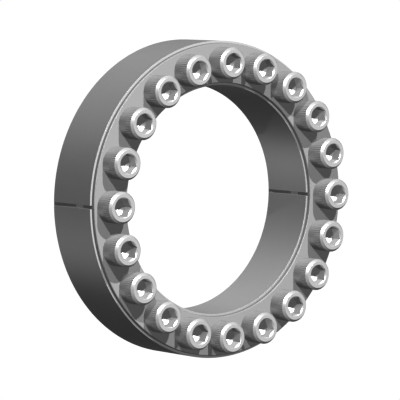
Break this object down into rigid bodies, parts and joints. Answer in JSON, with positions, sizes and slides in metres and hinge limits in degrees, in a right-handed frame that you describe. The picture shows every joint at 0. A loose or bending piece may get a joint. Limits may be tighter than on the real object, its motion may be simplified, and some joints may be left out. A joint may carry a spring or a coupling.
{
  "type": "shaft locking assembly",
  "caption": "Keyless shaft-to-hub locking assembly: two wedge rings drawn together by socket head screws between a slit outer ring and a slit inner ring.",
  "frame": {"origin": "on the ring's axis, in the plane of the rear pressure ring's outer face, on which the part lies", "axes": "+Z along the ring's axis, towards the screw heads; +X towards the inner ring's slit and the first screw, so the outer ring's slit is at -X"},
  "size_m": [0.18, 0.18, 0.05],
  "materials": {
    "outer_ring_steel": "fine turned, lightly oiled",
    "inner_ring_steel": "fine turned bore, lightly oiled",
    "pressure_ring_steel": "faced and turned",
    "screw_steel": "bright, with a knurled head"
  },
  "bodies": {
    "rear_pressure_ring": {"rear_pressure_ring": "pressure_ring_steel"},
    "outer_ring": {"outer_ring": "outer_ring_steel"},
    "inner_ring": {"inner_ring": "inner_ring_steel"},
    "front_pressure_ring": {"front_pressure_ring": "pressure_ring_steel"},
    "screw_01": {"screw_01": "screw_steel"},
    "screw_02": {"screw_02": "screw_steel"},
    "screw_03": {"screw_03": "screw_steel"},
    "screw_04": {"screw_04": "screw_steel"},
    "screw_05": {"screw_05": "screw_steel"},
    "screw_06": {"screw_06": "screw_steel"},
    "screw_07": {"screw_07": "screw_steel"},
    "screw_08": {"screw_08": "screw_steel"},
    "screw_09": {"screw_09": "screw_steel"},
    "screw_10": {"screw_10": "screw_steel"},
    "screw_11": {"screw_11": "screw_steel"},
    "screw_12": {"screw_12": "screw_steel"},
    "screw_13": {"screw_13": "screw_steel"},
    "screw_14": {"screw_14": "screw_steel"},
    "screw_15": {"screw_15": "screw_steel"},
    "screw_16": {"screw_16": "screw_steel"},
    "screw_17": {"screw_17": "screw_steel"},
    "screw_18": {"screw_18": "screw_steel"},
    "screw_19": {"screw_19": "screw_steel"},
    "screw_20": {"screw_20": "screw_steel"}
  },
  "joints": [
    {"name": "front_ring_slide", "type": "slide", "parent": "rear_pressure_ring", "child": "front_pressure_ring", "axis": [0, 0, 1], "range_m": [0, 0.0105]},
    {"name": "outer_ring_slide", "type": "slide", "parent": "rear_pressure_ring", "child": "outer_ring", "axis": [0, 0, 1], "range_m": [0, 0.00525]},
    {"name": "inner_ring_slide", "type": "slide", "parent": "rear_pressure_ring", "child": "inner_ring", "axis": [0, 0, 1], "range_m": [0, 0.00525]},
    {"name": "screw_01_turn", "type": "hinge", "parent": "front_pressure_ring", "child": "screw_01", "pos_m": [0.0776, 0, 0.038], "axis": [0, 0, 1], "range_deg": [0, 2160]},
    {"name": "screw_02_turn", "type": "hinge", "parent": "front_pressure_ring", "child": "screw_02", "pos_m": [0.0738, 0.02398, 0.038], "axis": [0, 0, 1], "range_deg": [0, 2160]},
    {"name": "screw_03_turn", "type": "hinge", "parent": "front_pressure_ring", "child": "screw_03", "pos_m": [0.06278, 0.04561, 0.038], "axis": [0, 0, 1], "range_deg": [0, 2160]},
    {"name": "screw_04_turn", "type": "hinge", "parent": "front_pressure_ring", "child": "screw_04", "pos_m": [0.04561, 0.06278, 0.038], "axis": [0, 0, 1], "range_deg": [0, 2160]},
    {"name": "screw_05_turn", "type": "hinge", "parent": "front_pressure_ring", "child": "screw_05", "pos_m": [0.02398, 0.0738, 0.038], "axis": [0, 0, 1], "range_deg": [0, 2160]},
    {"name": "screw_06_turn", "type": "hinge", "parent": "front_pressure_ring", "child": "screw_06", "pos_m": [0, 0.0776, 0.038], "axis": [0, 0, 1], "range_deg": [0, 2160]},
    {"name": "screw_07_turn", "type": "hinge", "parent": "front_pressure_ring", "child": "screw_07", "pos_m": [-0.02398, 0.0738, 0.038], "axis": [0, 0, 1], "range_deg": [0, 2160]},
    {"name": "screw_08_turn", "type": "hinge", "parent": "front_pressure_ring", "child": "screw_08", "pos_m": [-0.04561, 0.06278, 0.038], "axis": [0, 0, 1], "range_deg": [0, 2160]},
    {"name": "screw_09_turn", "type": "hinge", "parent": "front_pressure_ring", "child": "screw_09", "pos_m": [-0.06278, 0.04561, 0.038], "axis": [0, 0, 1], "range_deg": [0, 2160]},
    {"name": "screw_10_turn", "type": "hinge", "parent": "front_pressure_ring", "child": "screw_10", "pos_m": [-0.0738, 0.02398, 0.038], "axis": [0, 0, 1], "range_deg": [0, 2160]},
    {"name": "screw_11_turn", "type": "hinge", "parent": "front_pressure_ring", "child": "screw_11", "pos_m": [-0.0776, 0, 0.038], "axis": [0, 0, 1], "range_deg": [0, 2160]},
    {"name": "screw_12_turn", "type": "hinge", "parent": "front_pressure_ring", "child": "screw_12", "pos_m": [-0.0738, -0.02398, 0.038], "axis": [0, 0, 1], "range_deg": [0, 2160]},
    {"name": "screw_13_turn", "type": "hinge", "parent": "front_pressure_ring", "child": "screw_13", "pos_m": [-0.06278, -0.04561, 0.038], "axis": [0, 0, 1], "range_deg": [0, 2160]},
    {"name": "screw_14_turn", "type": "hinge", "parent": "front_pressure_ring", "child": "screw_14", "pos_m": [-0.04561, -0.06278, 0.038], "axis": [0, 0, 1], "range_deg": [0, 2160]},
    {"name": "screw_15_turn", "type": "hinge", "parent": "front_pressure_ring", "child": "screw_15", "pos_m": [-0.02398, -0.0738, 0.038], "axis": [0, 0, 1], "range_deg": [0, 2160]},
    {"name": "screw_16_turn", "type": "hinge", "parent": "front_pressure_ring", "child": "screw_16", "pos_m": [0, -0.0776, 0.038], "axis": [0, 0, 1], "range_deg": [0, 2160]},
    {"name": "screw_17_turn", "type": "hinge", "parent": "front_pressure_ring", "child": "screw_17", "pos_m": [0.02398, -0.0738, 0.038], "axis": [0, 0, 1], "range_deg": [0, 2160]},
    {"name": "screw_18_turn", "type": "hinge", "parent": "front_pressure_ring", "child": "screw_18", "pos_m": [0.04561, -0.06278, 0.038], "axis": [0, 0, 1], "range_deg": [0, 2160]},
    {"name": "screw_19_turn", "type": "hinge", "parent": "front_pressure_ring", "child": "screw_19", "pos_m": [0.06278, -0.04561, 0.038], "axis": [0, 0, 1], "range_deg": [0, 2160]},
    {"name": "screw_20_turn", "type": "hinge", "parent": "front_pressure_ring", "child": "screw_20", "pos_m": [0.0738, -0.02398, 0.038], "axis": [0, 0, 1], "range_deg": [0, 2160]}
  ],
  "couplings": [
    {"joint": "outer_ring_slide", "follows": "front_ring_slide", "ratio": 0.5},
    {"joint": "inner_ring_slide", "follows": "front_ring_slide", "ratio": 0.5},
    {"joint": "screw_01_turn", "follows": "front_ring_slide", "rad_per_m": 3590.4},
    {"joint": "screw_02_turn", "follows": "front_ring_slide", "rad_per_m": 3590.4},
    {"joint": "screw_03_turn", "follows": "front_ring_slide", "rad_per_m": 3590.4},
    {"joint": "screw_04_turn", "follows": "front_ring_slide", "rad_per_m": 3590.4},
    {"joint": "screw_05_turn", "follows": "front_ring_slide", "rad_per_m": 3590.4},
    {"joint": "screw_06_turn", "follows": "front_ring_slide", "rad_per_m": 3590.4},
    {"joint": "screw_07_turn", "follows": "front_ring_slide", "rad_per_m": 3590.4},
    {"joint": "screw_08_turn", "follows": "front_ring_slide", "rad_per_m": 3590.4},
    {"joint": "screw_09_turn", "follows": "front_ring_slide", "rad_per_m": 3590.4},
    {"joint": "screw_10_turn", "follows": "front_ring_slide", "rad_per_m": 3590.4},
    {"joint": "screw_11_turn", "follows": "front_ring_slide", "rad_per_m": 3590.4},
    {"joint": "screw_12_turn", "follows": "front_ring_slide", "rad_per_m": 3590.4},
    {"joint": "screw_13_turn", "follows": "front_ring_slide", "rad_per_m": 3590.4},
    {"joint": "screw_14_turn", "follows": "front_ring_slide", "rad_per_m": 3590.4},
    {"joint": "screw_15_turn", "follows": "front_ring_slide", "rad_per_m": 3590.4},
    {"joint": "screw_16_turn", "follows": "front_ring_slide", "rad_per_m": 3590.4},
    {"joint": "screw_17_turn", "follows": "front_ring_slide", "rad_per_m": 3590.4},
    {"joint": "screw_18_turn", "follows": "front_ring_slide", "rad_per_m": 3590.4},
    {"joint": "screw_19_turn", "follows": "front_ring_slide", "rad_per_m": 3590.4},
    {"joint": "screw_20_turn", "follows": "front_ring_slide", "rad_per_m": 3590.4}
  ]
}
